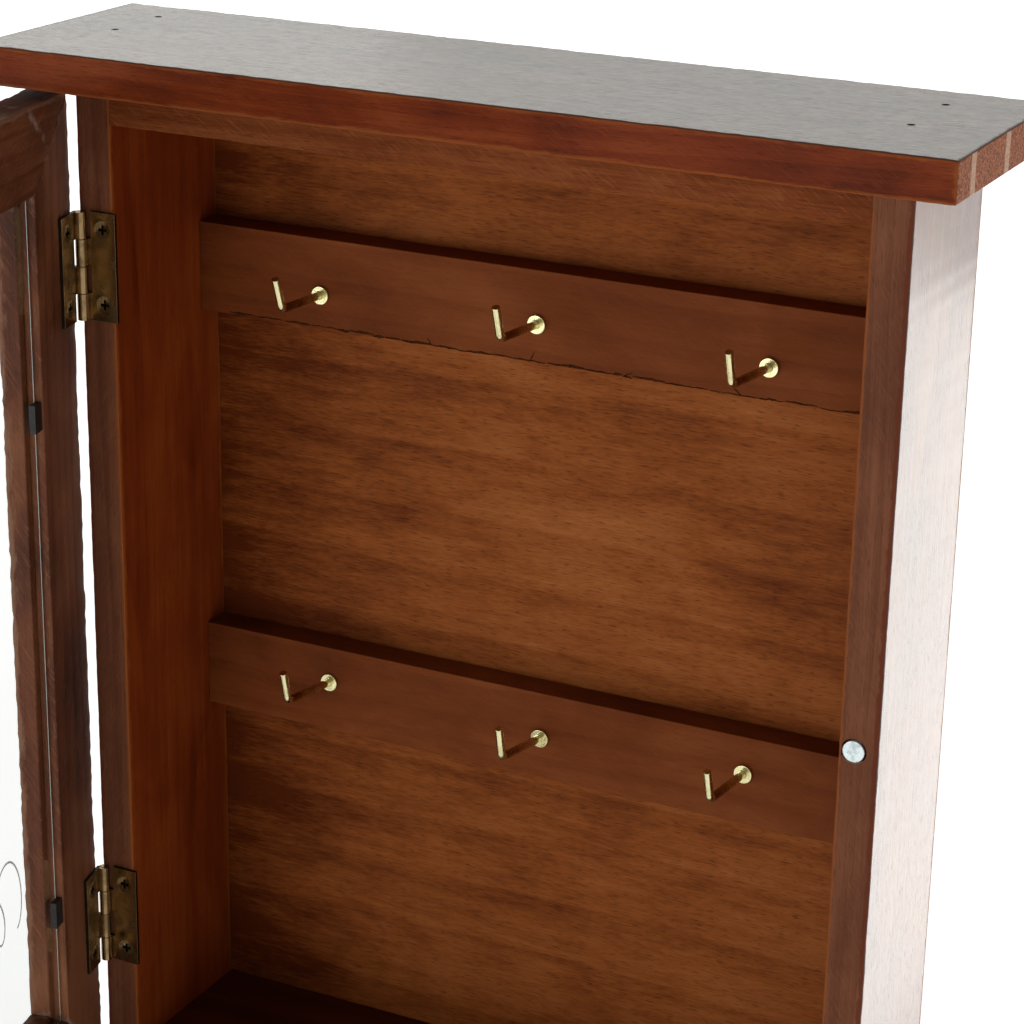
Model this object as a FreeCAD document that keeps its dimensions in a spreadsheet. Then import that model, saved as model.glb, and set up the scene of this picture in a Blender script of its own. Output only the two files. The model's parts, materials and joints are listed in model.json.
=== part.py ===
import FreeCAD, Part
# Key cabinet: a shallow wooden wall cabinet with two slats of brass key hooks and a framed glass door.
#
# Millimetres, +Z up, front towards -Y, width along X.  The origin is the middle of the base board's
# underside.  The door is modelled in its own frame, whose Z axis is the hinge axis, and is then swung
# open by door_open_angle, the pose in which the cabinet stands at rest.
import math
import os
import re
import Sketcher
from FreeCAD import Placement, Rotation, Vector

SIZES = {
    # Carcass boards
    "board_length": 220.0,
    "board_depth": 61.0,
    "board_thickness": 8.6,
    "front_overhang": 18.0,
    "carcass_width": 193.0,
    "panel_thickness": 8.7,
    "panel_height": 249.0,
    "inner_board_thickness": 10.0,
    "back_thickness": 2.0,
    "back_margin": 0.5,
    # Hook slats
    "slat_height": 21.3,
    "slat_thickness": 7.8,
    "upper_slat_drop": 38.9,
    "lower_slat_drop": 139.4,
    # L-shaped screw hooks
    "hook_wire_radius": 0.95,
    "hook_bend_radius": 2.0,
    "hook_bend_angle": 68.0,
    "hook_upright": 6.7,
    "hook_collar_radius": 2.2,
    "hook_collar_thickness": 0.8,
    "hook_thread_radius": 1.1,
    "hook_thread_length": 6.0,
    # Brads through the top and base boards, and nails and pins through the back
    "brad_radius": 0.6,
    "brad_head_radius": 0.85,
    "brad_head_depth": 1.0,
    "brad_sink": 1.0,
    "brad_length": 24.0,
    "back_nail_radius": 0.55,
    "back_nail_head_radius": 1.3,
    "back_nail_head_depth": 0.5,
    "back_nail_length": 11.0,
    "back_nail_margin": 12.5,
    "back_nail_pitch": 74.7,
    "slat_pin_length": 7.0,
    "slat_pin_offset": 29.0,
    # Magnet catch
    "magnet_radius": 2.4,
    "magnet_length": 6.0,
    "magnet_proud": 0.3,
    "magnet_rim_radius": 2.8,
    "magnet_rim_depth": 1.2,
    "magnet_inset": 5.4,
    "magnet_drop": 120.4,
    "strike_radius": 3.0,
    "strike_tip_radius": 2.55,
    "strike_height": 2.6,
    "strike_spike_radius": 0.6,
    "strike_spike_length": 6.0,
    # Butt hinges
    "axis_inset": 1.3,
    "axis_standoff": 1.6,
    "hinge_length": 25.0,
    "upper_hinge_drop": 29.7,
    "lower_hinge_drop": 191.3,
    "leaf_reach": 8.5,
    "leaf_thickness": 0.8,
    "leaf_notch": 2.0,
    "knuckle_radius": 1.3,
    "knuckle_gap": 0.15,
    "hinge_pin_radius": 0.65,
    "hinge_running_clearance": 0.05,
    "hinge_screw_inset": 3.9,
    "hinge_screw_reach": 5.2,
    # Countersunk cross-head screws of the hinges
    "screw_head_radius": 2.05,
    "screw_head_depth": 1.3,
    "screw_shank_radius": 0.9,
    "screw_length": 8.5,
    "screw_cross_length": 2.3,
    "screw_cross_width": 0.6,
    "screw_cross_depth": 0.9,
    # Door
    "door_edge": 0.85,
    "door_width": 189.0,
    "door_height": 240.0,
    "door_thickness": 9.0,
    "door_drop": 2.5,
    "door_open_angle": 78.0,
    "frame_width": 19.5,
    "frame_lip": 2.0,
    "glass_thickness": 2.0,
    "glass_recess": 1.8,
    "glass_play": 0.3,
    "clip_reach": 3.5,
    "clip_height": 6.5,
    "clip_thickness": 1.4,
    "clip_spur_radius": 0.4,
    "clip_spur_length": 3.0,
    "upper_clip_height": 171.2,
    "lower_clip_height": 49.5,
    # Knob and its screw
    "knob_radius": 6.5,
    "knob_neck_radius": 3.2,
    "knob_base_radius": 4.6,
    "knob_foot_length": 4.9,
    "knob_neck_length": 8.4,
    "knob_ball_reach": 9.8,
    "knob_ball_half_length": 4.2,
    "knob_screw_radius": 1.4,
    "knob_screw_engagement": 7.0,
    "knob_screw_head_radius": 2.8,
    "knob_screw_head_height": 1.8,
    # Wall hangers
    "hanger_spacing": 150.0,
    "hanger_width": 14.0,
    "hanger_height": 20.0,
    "hanger_thickness": 1.0,
    "hanger_hole_radius": 2.75,
    "hanger_pocket_radius": 4.5,
    "hanger_pocket_depth": 3.3,
    "hanger_screw_offset": 7.4,
    "hanger_screw_radius": 0.8,
    "hanger_screw_length": 6.0,
    "hanger_screw_head_radius": 1.7,
    "hanger_screw_head_height": 0.8,
}

# Each hook: place across the cabinet from its middle, height above the slat's lower edge,
# straight length of the arm, and upward tilt of the arm.  No two were screwed in alike.
HOOKS = {
    "upper_left": {"across": -55.2, "above": 8.0, "arm": 16.0, "tilt": 2.7},
    "upper_middle": {"across": 0.0, "above": 9.0, "arm": 16.8, "tilt": 3.9},
    "upper_right": {"across": 55.2, "above": 7.4, "arm": 20.2, "tilt": 4.9},
    "lower_left": {"across": -53.4, "above": 12.5, "arm": 18.4, "tilt": 7.6},
    "lower_middle": {"across": 3.0, "above": 10.1, "arm": 18.9, "tilt": 9.0},
    "lower_right": {"across": 53.8, "above": 12.4, "arm": 18.4, "tilt": 5.4},
}
for place, values in HOOKS.items():
    for quantity, value in values.items():
        SIZES[f"{place}_hook_{quantity}"] = value

# Each brad: its shift across from the middle of the side panel below it, and its place along Y.
BRADS = {
    "left_front": {"shift": -1.6, "along": -0.4},
    "left_back": {"shift": -2.4, "along": 18.0},
    "right_front": {"shift": 0.0, "along": -5.0},
    "right_back": {"shift": -0.3, "along": 16.8},
}
for place, values in BRADS.items():
    for quantity, value in values.items():
        SIZES[f"{place}_brad_{quantity}"] = value

doc = FreeCAD.newDocument("KeyCabinet")
sheet = doc.addObject("Spreadsheet::Sheet", "Sizes")
for row, (alias, value) in enumerate(SIZES.items(), start=1):
    sheet.set(f"A{row}", alias)
    sheet.set(f"B{row}", str(value))
    sheet.setAlias(f"B{row}", alias)
doc.recompute()

PANEL_TOP = "(board_thickness + panel_height)"
FRONT = "(front_overhang - board_depth / 2)"
BACK = "(board_depth / 2)"
AXIS_X = "(axis_inset - carcass_width / 2)"
AXIS_Y = f"({FRONT} - axis_standoff)"
DOOR_BOTTOM = f"({PANEL_TOP} - door_drop - door_height)"
DOOR_BACK = "(0 - axis_standoff)"
SLAT_BOTTOM = {
    "upper": f"({PANEL_TOP} - upper_slat_drop - slat_height)",
    "lower": f"({PANEL_TOP} - lower_slat_drop - slat_height)",
}
HINGE_BOTTOM = {
    "upper": f"({PANEL_TOP} - upper_hinge_drop - hinge_length)",
    "lower": f"({PANEL_TOP} - lower_hinge_drop - hinge_length)",
}
HANGER_HEIGHT = f"({SLAT_BOTTOM['upper']} + slat_height / 2)"
BACKWARD = Rotation(Vector(0, 0, 1), Vector(0, 1, 0))
FORWARD = Rotation(Vector(0, 0, 1), Vector(0, -1, 0))
LEFTWARD = Rotation(Vector(0, 0, 1), Vector(-1, 0, 0))
RIGHTWARD = Rotation(Vector(0, 0, 1), Vector(1, 0, 0))
DOWNWARD = Rotation(Vector(0, 0, 1), Vector(0, 0, -1))
UPWARD = Rotation()
PARTS = []


def formula(text):
    """The text with each sheet alias written as a reference to its cell."""
    return re.sub(r"[a-z_]+",
                  lambda word: f"Sizes.{word.group()}" if word.group() in SIZES else word.group(), text)


def put(thing, at, rotation=None):
    """Turn a thing and tie its position to three formulas."""
    thing.Placement = Placement(Vector(), rotation or Rotation())
    for axis, text in zip("xyz", at):
        thing.setExpression(f"Placement.Base.{axis}", formula(text))
    return thing


def box(name, size, corner, rotation=None):
    solid = doc.addObject("Part::Box", name)
    for side, text in zip(("Length", "Width", "Height"), size):
        solid.setExpression(side, formula(text))
    return put(solid, corner, rotation)


def rod(name, radius, length, at, direction):
    """A cylinder that starts at a point and runs the given way."""
    solid = doc.addObject("Part::Cylinder", name)
    solid.setExpression("Radius", formula(radius))
    solid.setExpression("Height", formula(length))
    return put(solid, at, direction)


def taper(name, start_radius, end_radius, length, at, direction):
    solid = doc.addObject("Part::Cone", name)
    solid.setExpression("Radius1", formula(start_radius))
    solid.setExpression("Radius2", formula(end_radius))
    solid.setExpression("Height", formula(length))
    return put(solid, at, direction)


def fuse(name, solids):
    joined = doc.addObject("Part::MultiFuse", name)
    joined.Shapes = solids
    return joined


def group(name, solids):
    """Separate solids kept as one object."""
    together = doc.addObject("Part::Compound", name)
    together.Links = solids
    return together


def cut(name, base, tools):
    """The base with every tool taken away, one after the other."""
    for step, tool in enumerate(tools, start=1):
        last = step == len(tools)
        pared = doc.addObject("Part::Cut", name if last else f"{name}_cut_{step}")
        pared.Base = base
        pared.Tool = tool
        base = pared
    return base


def keep(thing, label, on_door=False):
    """Give a finished sub-part its label, and swing it open if the door carries it."""
    thing.Label = label
    if on_door:
        put(thing, (AXIS_X, AXIS_Y, "0"), Rotation(Vector(0, 0, -1), 1))
        thing.setExpression("Placement.Rotation.Angle", formula("door_open_angle"))
    PARTS.append(thing)
    return thing


def nail(name, shank, head_radius, head_depth, length, at, direction):
    """A round-headed nail: its head starts at the given point and its shank runs on from it."""
    head = rod(f"{name}_head", head_radius, head_depth, at, direction)
    stem = rod(f"{name}_stem", shank, length, at, direction)
    return fuse(name, [head, stem])


def screw_body(name, at, direction):
    """A countersunk screw without its cross recess, also used to cut the hole that it fills."""
    head = taper(f"{name}_head", "screw_head_radius", "screw_shank_radius", "screw_head_depth", at, direction)
    stem = rod(f"{name}_stem", "screw_shank_radius", "screw_length", at, direction)
    return fuse(name, [head, stem])


def cross_recess(name, across, surface, height, into):
    """The cross-shaped driver recess of a screw whose head lies in a plane facing along Y."""
    depth = "screw_cross_depth"
    half_length = "screw_cross_length / 2"
    half_width = "screw_cross_width / 2"
    start = surface if into > 0 else f"{surface} - {depth}"
    level = box(f"{name}_level", ("screw_cross_length", depth, "screw_cross_width"),
                (f"{across} - {half_length}", start, f"{height} - {half_width}"))
    upright = box(f"{name}_upright", ("screw_cross_width", depth, "screw_cross_length"),
                  (f"{across} - {half_width}", start, f"{height} - {half_length}"))
    return fuse(name, [level, upright])


def constrained_polygon(sketch, points):
    """Close a polygon through points whose coordinates are formulas of zero or more."""
    count = len(points)
    for index in range(count):
        start = Vector(10 * index + 1, 10 * (index % 2) + index + 1, 0)
        end_index = (index + 1) % count
        end = Vector(10 * end_index + 1, 10 * (end_index % 2) + end_index + 1, 0)
        sketch.addGeometry(Part.LineSegment(start, end), False)
    for index in range(count):
        sketch.addConstraint(Sketcher.Constraint("Coincident", index, 2, (index + 1) % count, 1))
    for index, (across, up) in enumerate(points):
        for kind, text, axis in (("DistanceX", across, -2), ("DistanceY", up, -1)):
            if text == "0":
                sketch.addConstraint(Sketcher.Constraint("PointOnObject", index, 1, axis))
                continue
            label = f"{kind}{index}"
            added = sketch.addConstraint(Sketcher.Constraint(kind, -1, 1, index, 1, 10.0 + index))
            sketch.renameConstraint(added, label)
            sketch.setExpression(f"Constraints.{label}", formula(text))


def new_sketch(body, name, role):
    sketch = body.newObject("Sketcher::SketchObject", name)
    plane = next(feature for feature in body.Origin.OriginFeatures if feature.Role == role)
    sketch.AttachmentSupport = (plane, [""])
    sketch.MapMode = "FlatFace"
    return sketch


def drop_by(text):
    """A height measured down from the underside of the top board."""
    return f"({PANEL_TOP} - {text})"


# --- Fasteners that pass through several pieces, in the cabinet's frame -----------------------------

PANEL_MIDDLE = "(carcass_width / 2 - panel_thickness / 2)"


def board_brads(board, outer_face, direction, into):
    """Four brads punched below a board's outer face, and the sunk holes above their heads."""
    brads = []
    sinks = []
    for place in BRADS:
        panel_middle = f"0 - {PANEL_MIDDLE}" if place.startswith("left") else PANEL_MIDDLE
        across = f"{panel_middle} + {place}_brad_shift"
        along = f"{place}_brad_along"
        head_level = f"{outer_face} + {into} * brad_sink"
        brads.append(nail(f"{board}_brad_{place}", "brad_radius", "brad_head_radius", "brad_head_depth",
                          "brad_length", (across, along, head_level), direction))
        sinks.append(rod(f"{board}_sink_{place}", "brad_head_radius", "brad_sink",
                         (across, along, outer_face), direction))
    return brads, sinks


top_brads, top_sinks = board_brads("top", f"{PANEL_TOP} + board_thickness", DOWNWARD, "(0 - 1)")
base_brads, base_sinks = board_brads("base", "0", UPWARD, "1")
top_brad_group = keep(group("TopBrads", top_brads), "top_board_nails")
base_brad_group = keep(group("BaseBrads", base_brads), "base_board_nails")

back_nails = []
for side, sign in (("left", "0 - "), ("right", "")):
    for level in range(4):
        height = f"board_thickness + back_nail_margin + {level} * back_nail_pitch"
        back_nails.append(nail(f"BackNail_{side}_{level}", "back_nail_radius", "back_nail_head_radius",
                               "back_nail_head_depth", "back_nail_length",
                               (f"{sign}{PANEL_MIDDLE}", f"{BACK} + back_thickness", height), FORWARD))
back_nail_group = keep(group("BackNails", back_nails), "back_panel_nails")

slat_pins = {}
for slat, bottom in SLAT_BOTTOM.items():
    slat_pins[slat] = [
        nail(f"SlatPin_{slat}_{side}", "back_nail_radius", "back_nail_head_radius", "back_nail_head_depth",
             "slat_pin_length", (f"{sign} * slat_pin_offset", f"{BACK} + back_thickness",
                                 f"{bottom} + slat_height / 2"), FORWARD)
        for side, sign in (("left", "(0 - 1)"), ("right", "1"))
    ]
slat_pin_group = keep(group("SlatPins", slat_pins["upper"] + slat_pins["lower"]), "slat_pins")

# --- Wall hangers: round-holed plates over a pocket behind the upper slat ----------------------------

hanger_pockets = []
hanger_screws = []
for side, sign in (("left", "(0 - 1)"), ("right", "1")):
    middle = f"{sign} * hanger_spacing / 2"
    outer = f"{BACK} + back_thickness + hanger_thickness"
    pocket = rod(f"HangerPocket_{side}", "hanger_pocket_radius", "back_thickness + hanger_pocket_depth",
                 (middle, f"{BACK} + back_thickness", HANGER_HEIGHT), FORWARD)
    hanger_pockets.append(pocket)
    plate = box(f"HangerPlate_{side}", ("hanger_width", "hanger_thickness", "hanger_height"),
                (f"{middle} - hanger_width / 2", f"{BACK} + back_thickness",
                 f"{HANGER_HEIGHT} - hanger_height / 2"))
    hole = rod(f"HangerHole_{side}", "hanger_hole_radius", "hanger_thickness",
               (middle, f"{BACK} + back_thickness", HANGER_HEIGHT), BACKWARD)
    pair = []
    for end, step in (("upper", "+"), ("lower", "-")):
        height = f"{HANGER_HEIGHT} {step} hanger_screw_offset"
        head = rod(f"HangerScrewHead_{side}_{end}", "hanger_screw_head_radius", "hanger_screw_head_height",
                   (middle, outer, height), BACKWARD)
        stem = rod(f"HangerScrewStem_{side}_{end}", "hanger_screw_radius", "hanger_screw_length",
                   (middle, outer, height), FORWARD)
        pair.append(fuse(f"HangerScrew_{side}_{end}", [head, stem]))
    keep(cut(f"Hanger_{side}", plate, [hole, *pair]), f"wall_hanger_{side}")
    hanger_screws += pair
keep(group("HangerScrews", hanger_screws), "wall_hanger_screws")

# --- Hinges -------------------------------------------------------------------------------------

SCREW_X = "hinge_screw_reach"
KNUCKLE_PITCH = "(hinge_length / 4)"


def hinge_screw_heights(bottom):
    return (f"{bottom} + hinge_screw_inset", f"{bottom} + hinge_length - hinge_screw_inset")


def hinge_leaf(label, bottom, axis, plate_y, knuckles, bore_radius, screws, on_door):
    """A leaf: a plate beside the axis, two of the four knuckles, and two countersunk holes."""
    axis_x, axis_y = axis
    name = label.title().replace("_", "")
    plate = box(f"{name}_plate", ("leaf_reach", "leaf_thickness", "hinge_length"), (axis_x, plate_y, bottom))
    tools = []
    rolls = []
    for level in range(4):
        start = f"{bottom} + {KNUCKLE_PITCH} * {level} + knuckle_gap / 2"
        length = f"{KNUCKLE_PITCH} - knuckle_gap"
        if level in knuckles:
            rolls.append(rod(f"{name}_knuckle_{level}", "knuckle_radius", length,
                             (axis_x, axis_y, start), UPWARD))
        else:
            tools.append(box(f"{name}_notch_{level}", ("leaf_notch", "leaf_thickness", KNUCKLE_PITCH),
                             (axis_x, plate_y, f"{bottom} + {KNUCKLE_PITCH} * {level}")))
    trimmed = cut(f"{name}_notched", plate, tools)
    rolled = fuse(f"{name}_rolled", [trimmed, *rolls])
    bore = rod(f"{name}_bore", bore_radius, "hinge_length", (axis_x, axis_y, bottom), UPWARD)
    keep(cut(name, rolled, [bore, *screws]), label, on_door)


cabinet_screw_bodies = []
door_screw_bodies = []
for hinge, bottom in HINGE_BOTTOM.items():
    leaf_face = f"{FRONT} - leaf_thickness"
    screw_x = f"{AXIS_X} + {SCREW_X}"
    bodies = [screw_body(f"CabinetScrew_{hinge}_{index}", (screw_x, leaf_face, height), BACKWARD)
              for index, height in enumerate(hinge_screw_heights(bottom))]
    crosses = [cross_recess(f"CabinetCross_{hinge}_{index}", screw_x, leaf_face, height, 1)
               for index, height in enumerate(hinge_screw_heights(bottom))]
    screws = [cut(f"CabinetScrewCut_{hinge}_{index}", body, [cross])
              for index, (body, cross) in enumerate(zip(bodies, crosses))]
    keep(group(f"CabinetScrews_{hinge}", screws), f"{hinge}_hinge_cabinet_screws")
    hinge_leaf(f"{hinge}_hinge_cabinet_leaf", bottom, (AXIS_X, AXIS_Y), leaf_face, (0, 2),
               "hinge_pin_radius", bodies, False)
    cabinet_screw_bodies += bodies
    keep(rod(f"HingePin_{hinge}", "hinge_pin_radius", "hinge_length", (AXIS_X, AXIS_Y, bottom), UPWARD),
         f"{hinge}_hinge_pin")

    door_face = f"{DOOR_BACK} + leaf_thickness"
    bodies = [screw_body(f"DoorScrew_{hinge}_{index}", (SCREW_X, door_face, height), FORWARD)
              for index, height in enumerate(hinge_screw_heights(bottom))]
    crosses = [cross_recess(f"DoorCross_{hinge}_{index}", SCREW_X, door_face, height, -1)
               for index, height in enumerate(hinge_screw_heights(bottom))]
    screws = [cut(f"DoorScrewCut_{hinge}_{index}", body, [cross])
              for index, (body, cross) in enumerate(zip(bodies, crosses))]
    keep(group(f"DoorScrews_{hinge}", screws), f"{hinge}_hinge_door_screws", on_door=True)
    hinge_leaf(f"{hinge}_hinge_door_leaf", bottom, ("0", "0"), DOOR_BACK, (1, 3),
               "hinge_pin_radius + hinge_running_clearance", bodies, True)
    door_screw_bodies += bodies

# --- Magnet catch in the front edge of the right side panel ------------------------------------------

MAGNET_X = "(carcass_width / 2 - magnet_inset)"
MAGNET_Z = drop_by("magnet_drop")
magnet = rod("Magnet", "magnet_radius", "magnet_length",
             (MAGNET_X, f"{FRONT} - magnet_proud", MAGNET_Z), BACKWARD)
magnet_rim = rod("MagnetRim", "magnet_rim_radius", "magnet_rim_depth",
                 (MAGNET_X, FRONT, MAGNET_Z), BACKWARD)
keep(magnet, "catch_magnet")

# --- Hook slats and hooks ---------------------------------------------------------------------------

SLAT_FRONT = f"({BACK} - slat_thickness)"


def hook(place, slat):
    """An L-shaped screw hook: thread, collar, tilted arm and upright, modelled about its collar's foot."""
    body = doc.addObject("PartDesign::Body", f"Hook_{place}")
    path = new_sketch(body, f"HookPath_{place}", "YZ_Plane")
    # A first guess of the line, which the constraints then move: the bend runs anticlockwise,
    # from the foot of the upright round to the end of the arm
    bend = Part.ArcOfCircle(Part.Circle(Vector(-16, 4, 0), Vector(0, 0, 1), 2.0),
                            math.radians(200), math.radians(265))
    path.addGeometry(Part.LineSegment(Vector(0, 0, 0), bend.EndPoint), False)
    path.addGeometry(bend, False)
    path.addGeometry(Part.LineSegment(bend.StartPoint, Vector(-20, 10, 0)), False)
    lean = f"180 - {place}_hook_tilt - hook_bend_angle"
    bound = (
        ("arm", Sketcher.Constraint("Distance", 0, 16.0), f"{place}_hook_arm", ""),
        ("rise", Sketcher.Constraint("Angle", 0, 3.0), f"180 - {place}_hook_tilt", " * 1 deg"),
        ("bend", Sketcher.Constraint("Radius", 1, 2.0), "hook_bend_radius", ""),
        ("upright", Sketcher.Constraint("Distance", 2, 7.0), "hook_upright", ""),
        ("lean", Sketcher.Constraint("Angle", 2, 1.9), lean, " * 1 deg"),
    )
    path.addConstraint(Sketcher.Constraint("Coincident", 0, 1, -1, 1))
    path.addConstraint(Sketcher.Constraint("Tangent", 0, 2, 1, 2))
    path.addConstraint(Sketcher.Constraint("Tangent", 1, 1, 2, 1))
    for label, constraint, text, unit in bound:
        index = path.addConstraint(constraint)
        path.renameConstraint(index, label)
        path.setExpression(f"Constraints.{label}", f"({formula(text)}){unit}")
    rings = {}
    for ring in ("hook_wire_radius", "hook_collar_radius", "hook_thread_radius"):
        circle = new_sketch(body, f"{ring}_{place}", "XZ_Plane")
        circle.addGeometry(Part.Circle(Vector(0, 0, 0), Vector(0, 0, 1), 1.0), False)
        circle.addConstraint(Sketcher.Constraint("Coincident", 0, 3, -1, 1))
        circle.addConstraint(Sketcher.Constraint("Radius", 0, 1.0))
        circle.renameConstraint(1, "ring")
        circle.setExpression("Constraints.ring", formula(ring))
        rings[ring] = circle
    doc.recompute()
    swept = path.Geometry[1].LastParameter - path.Geometry[1].FirstParameter
    if swept > math.pi:
        raise SystemExit(f"the bend of hook {place} runs the long way round")
    wire = body.newObject("PartDesign::AdditivePipe", f"HookWire_{place}")
    wire.Profile = rings["hook_wire_radius"]
    wire.Spine = (path, ["Edge1", "Edge2", "Edge3"])
    doc.recompute()
    collar = body.newObject("PartDesign::Pad", f"HookCollar_{place}")
    collar.Profile = rings["hook_collar_radius"]
    collar.setExpression("Length", formula("hook_collar_thickness"))
    doc.recompute()
    thread = body.newObject("PartDesign::Pad", f"HookThread_{place}")
    thread.Profile = rings["hook_thread_radius"]
    thread.setExpression("Length", formula("hook_thread_length"))
    thread.Reversed = True
    put(body, (f"{place}_hook_across", SLAT_FRONT, f"{SLAT_BOTTOM[slat]} + {place}_hook_above"))
    keep(body, f"key_hook_{place}")


for slat, bottom in SLAT_BOTTOM.items():
    bare = box(f"SlatBoard_{slat}",
               ("carcass_width - 2 * panel_thickness", "slat_thickness", "slat_height"),
               ("panel_thickness - carcass_width / 2", SLAT_FRONT, bottom))
    tools = list(slat_pins[slat])
    if slat == "upper":
        tools += hanger_pockets + hanger_screws
    for side in ("left", "middle", "right"):
        place = f"{slat}_{side}"
        hook(place, slat)
        tools.append(rod(f"HookHole_{place}", "hook_thread_radius", "hook_thread_length",
                         (f"{place}_hook_across", SLAT_FRONT, f"{bottom} + {place}_hook_above"), BACKWARD))
    keep(cut(f"Slat_{slat}", bare, tools), f"{slat}_hook_slat")

# --- Carcass boards ---------------------------------------------------------------------------------

BOARD = ("board_length", "board_depth", "board_thickness")
top_bare = box("TopBoard_blank", BOARD, ("0 - board_length / 2", "0 - board_depth / 2", PANEL_TOP))
keep(cut("TopBoard", top_bare, top_brads + top_sinks), "top_board")
base_bare = box("BaseBoard_blank", BOARD, ("0 - board_length / 2", "0 - board_depth / 2", "0"))
keep(cut("BaseBoard", base_bare, base_brads + base_sinks), "base_board")

PANEL = ("panel_thickness", "board_depth - front_overhang", "panel_height")
INNER = ("carcass_width - 2 * panel_thickness", "board_depth - front_overhang", "inner_board_thickness")
left_bare = box("LeftPanel_blank", PANEL, ("0 - carcass_width / 2", FRONT, "board_thickness"))
keep(cut("LeftPanel", left_bare,
         cabinet_screw_bodies + top_brads[:2] + base_brads[:2] + back_nails[:4]), "left_side_panel")
right_bare = box("RightPanel_blank", PANEL,
                 ("carcass_width / 2 - panel_thickness", FRONT, "board_thickness"))
keep(cut("RightPanel", right_bare,
         [magnet_rim, magnet] + top_brads[2:] + base_brads[2:] + back_nails[4:]), "right_side_panel")
keep(box("InnerTop", INNER, ("panel_thickness - carcass_width / 2", FRONT,
                             f"{PANEL_TOP} - inner_board_thickness")), "inner_top_board")
keep(box("InnerBottom", INNER, ("panel_thickness - carcass_width / 2", FRONT, "board_thickness")),
     "inner_bottom_board")
back_bare = box("Back_blank",
                ("carcass_width - 2 * back_margin", "back_thickness", "panel_height - 2 * back_margin"),
                ("back_margin - carcass_width / 2", BACK, "board_thickness + back_margin"))
keep(cut("Back", back_bare, back_nails + slat_pins["upper"] + slat_pins["lower"] + hanger_pockets
         + hanger_screws), "back_panel")

# --- Door, in the frame of its hinge axis --------------------------------------------------------------

SIGHT = "(frame_width + frame_lip)"
REBATE_DEPTH = "(glass_recess + glass_thickness)"
MEMBERS = {
    "hinge_stile": (("0", "0"), (SIGHT, SIGHT), (SIGHT, f"door_height - {SIGHT}"), ("0", "door_height")),
    "free_stile": (("door_width", "0"), ("door_width", "door_height"),
                   (f"door_width - {SIGHT}", f"door_height - {SIGHT}"), (f"door_width - {SIGHT}", SIGHT)),
    "bottom_rail": (("0", "0"), ("door_width", "0"), (f"door_width - {SIGHT}", SIGHT), (SIGHT, SIGHT)),
    "top_rail": (("0", "door_height"), (SIGHT, f"door_height - {SIGHT}"),
                 (f"door_width - {SIGHT}", f"door_height - {SIGHT}"), ("door_width", "door_height")),
}
REBATE = (
    ("frame_width", "frame_width"), ("door_width - frame_width", "frame_width"),
    ("door_width - frame_width", "door_height - frame_width"), ("frame_width", "door_height - frame_width"),
)


def frame_member(member):
    """One mitred member of the door frame, with the glass rebate cut along its inner back edge."""
    body = doc.addObject("PartDesign::Body", f"Member_{member}")
    outline = new_sketch(body, f"Outline_{member}", "XZ_Plane")
    constrained_polygon(outline, MEMBERS[member])
    doc.recompute()
    pad = body.newObject("PartDesign::Pad", f"Pad_{member}")
    pad.Profile = outline
    pad.setExpression("Length", formula("door_thickness"))
    opening = new_sketch(body, f"Rebate_{member}", "XZ_Plane")
    constrained_polygon(opening, REBATE)
    doc.recompute()
    before = body.Shape.Volume
    pocket = body.newObject("PartDesign::Pocket", f"Pocket_{member}")
    pocket.Profile = opening
    pocket.Reversed = True
    pocket.setExpression("Length", formula(REBATE_DEPTH))
    doc.recompute()
    if body.Shape.Volume >= before:
        raise SystemExit(f"the rebate of {member} cut nothing")
    return put(body, ("door_edge", DOOR_BACK, DOOR_BOTTOM))


KNOB_X = f"(door_edge + door_width - {SIGHT} / 2)"
KNOB_Z = f"({DOOR_BOTTOM} + door_height / 2)"
DOOR_FRONT = f"({DOOR_BACK} - door_thickness)"
STRIKE_X = f"({MAGNET_X} - {AXIS_X})"

knob_stem = rod("KnobScrewStem", "knob_screw_radius", "door_thickness + knob_screw_engagement",
                (KNOB_X, DOOR_BACK, KNOB_Z), FORWARD)
knob_head = rod("KnobScrewHead", "knob_screw_head_radius", "knob_screw_head_height",
                (KNOB_X, DOOR_BACK, KNOB_Z), BACKWARD)
knob_screw = fuse("KnobScrew", [knob_head, knob_stem])
knob_foot = taper("KnobFoot", "knob_base_radius", "knob_neck_radius", "knob_foot_length",
                  (KNOB_X, DOOR_FRONT, KNOB_Z), FORWARD)
knob_neck = rod("KnobNeck", "knob_neck_radius", "knob_neck_length", (KNOB_X, DOOR_FRONT, KNOB_Z), FORWARD)
knob_ball = doc.addObject("Part::Ellipsoid", "KnobBall")
knob_ball.setExpression("Radius1", formula("knob_ball_half_length"))
knob_ball.setExpression("Radius2", formula("knob_radius"))
put(knob_ball, (KNOB_X, f"{DOOR_FRONT} - knob_ball_reach", KNOB_Z), FORWARD)

strike_disc = taper("StrikeDisc", "strike_radius", "strike_tip_radius", "strike_height",
                    (STRIKE_X, DOOR_BACK, MAGNET_Z), BACKWARD)
strike_spike = rod("StrikeSpike", "strike_spike_radius", "strike_spike_length",
                   (STRIKE_X, DOOR_BACK, MAGNET_Z), FORWARD)

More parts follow.
